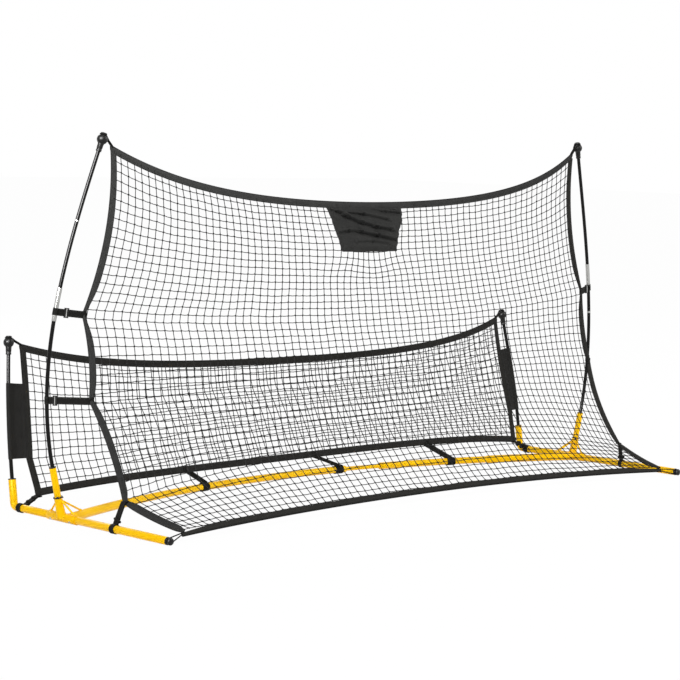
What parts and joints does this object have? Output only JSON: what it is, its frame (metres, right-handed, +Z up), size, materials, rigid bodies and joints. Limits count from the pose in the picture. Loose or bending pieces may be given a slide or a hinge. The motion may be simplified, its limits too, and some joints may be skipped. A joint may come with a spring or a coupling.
{
  "type": "rebound net",
  "caption": "Two-sided ball rebound net: a low tube base, flexed poles holding a tall net that scoops forward to the floor, and a low net behind.",
  "frame": {"origin": "on the floor, in the middle of the footprint", "axes": "+X across the nets to the right as seen from the ramp side, -Y towards the ramp side of the tall net, +Z up"},
  "size_m": [2.3052, 0.782, 1.0759],
  "materials": {
    "yellow_paint": "glossy powder-coated steel tube",
    "black_fibreglass": "smooth pultruded rod",
    "bright_steel": "bright drawn tube",
    "black_plastic": "moulded, satin",
    "black_webbing": "woven strap",
    "charcoal_binding": "folded woven tape",
    "black_twine": "knotted twine",
    "black_fabric": "plain woven cloth, bare"
  },
  "bodies": {
    "frame_and_nets": {"crossbar_joiner": "yellow_paint", "left_bushing": "black_plastic", "left_collar": "black_plastic", "left_crossbar_tube": "yellow_paint", "left_ferrule": "bright_steel", "left_front_arm": "yellow_paint", "left_front_cap": "black_plastic", "left_hub": "yellow_paint", "left_lower_pole": "black_fibreglass", "left_lower_strap": "black_webbing", "left_rear_arm": "yellow_paint", "left_rear_bushing": "black_plastic", "left_rear_corner_strap": "black_webbing", "left_rear_pole": "black_fibreglass", "left_rear_tip_cap": "black_plastic", "left_side_panel": "black_fabric", "left_skid_strap": "black_webbing", "left_socket": "yellow_paint", "left_tip_cap": "black_plastic", "left_upper_pole": "black_fibreglass", "left_upper_strap": "black_webbing", "low_net_bottom_binding": "charcoal_binding", "low_net_left_binding": "charcoal_binding", "low_net_mesh": "black_twine", "low_net_right_binding": "charcoal_binding", "low_net_top_binding": "charcoal_binding", "right_bushing": "black_plastic", "right_collar": "black_plastic", "right_crossbar_tube": "yellow_paint", "right_ferrule": "bright_steel", "right_front_arm": "yellow_paint", "right_front_cap": "black_plastic", "right_hub": "yellow_paint", "right_lower_pole": "black_fibreglass", "right_lower_strap": "black_webbing", "right_rear_arm": "yellow_paint", "right_rear_bushing": "black_plastic", "right_rear_corner_strap": "black_webbing", "right_rear_pole": "black_fibreglass", "right_rear_tip_cap": "black_plastic", "right_side_panel": "black_fabric", "right_skid_strap": "black_webbing", "right_socket": "yellow_paint", "right_tip_cap": "black_plastic", "right_upper_pole": "black_fibreglass", "right_upper_strap": "black_webbing", "tall_net_front_binding": "charcoal_binding", "tall_net_left_binding": "charcoal_binding", "tall_net_mesh": "black_twine", "tall_net_right_binding": "charcoal_binding", "tall_net_top_binding": "charcoal_binding", "target_patch": "black_fabric"},
    "left_lower_glide": {"left_lower_glide": "black_plastic"},
    "left_upper_glide": {"left_upper_glide": "black_plastic"},
    "right_lower_glide": {"right_lower_glide": "black_plastic"},
    "right_upper_glide": {"right_upper_glide": "black_plastic"},
    "left_front_button": {"left_front_button": "bright_steel"},
    "left_rear_button": {"left_rear_button": "bright_steel"},
    "right_front_button": {"right_front_button": "bright_steel"},
    "right_rear_button": {"right_rear_button": "bright_steel"}
  },
  "joints": [
    {"name": "left_lower_glide_slide", "type": "slide", "parent": "frame_and_nets", "child": "left_lower_glide", "axis": [0.7256, -0.6881, 0.0003], "range_m": [-0.004, 0.084]},
    {"name": "left_upper_glide_slide", "type": "slide", "parent": "frame_and_nets", "child": "left_upper_glide", "axis": [0.9161, -0.3848, -0.1125], "range_m": [-0.01, 0.04]},
    {"name": "right_lower_glide_slide", "type": "slide", "parent": "frame_and_nets", "child": "right_lower_glide", "axis": [-0.7256, -0.6881, 0.0003], "range_m": [-0.004, 0.084]},
    {"name": "right_upper_glide_slide", "type": "slide", "parent": "frame_and_nets", "child": "right_upper_glide", "axis": [-0.9161, -0.3848, -0.1125], "range_m": [-0.01, 0.04]},
    {"name": "left_front_button_press", "type": "slide", "parent": "frame_and_nets", "child": "left_front_button", "axis": [0.866, 0, 0.5], "range_m": [0, 0.0045], "stiffness_N_per_m": 1500, "springref_m": -0.002},
    {"name": "left_rear_button_press", "type": "slide", "parent": "frame_and_nets", "child": "left_rear_button", "axis": [0.866, 0, 0.5], "range_m": [0, 0.0045], "stiffness_N_per_m": 1500, "springref_m": -0.002},
    {"name": "right_front_button_press", "type": "slide", "parent": "frame_and_nets", "child": "right_front_button", "axis": [-0.866, 0, 0.5], "range_m": [0, 0.0045], "stiffness_N_per_m": 1500, "springref_m": -0.002},
    {"name": "right_rear_button_press", "type": "slide", "parent": "frame_and_nets", "child": "right_rear_button", "axis": [-0.866, 0, 0.5], "range_m": [0, 0.0045], "stiffness_N_per_m": 1500, "springref_m": -0.002}
  ]
}
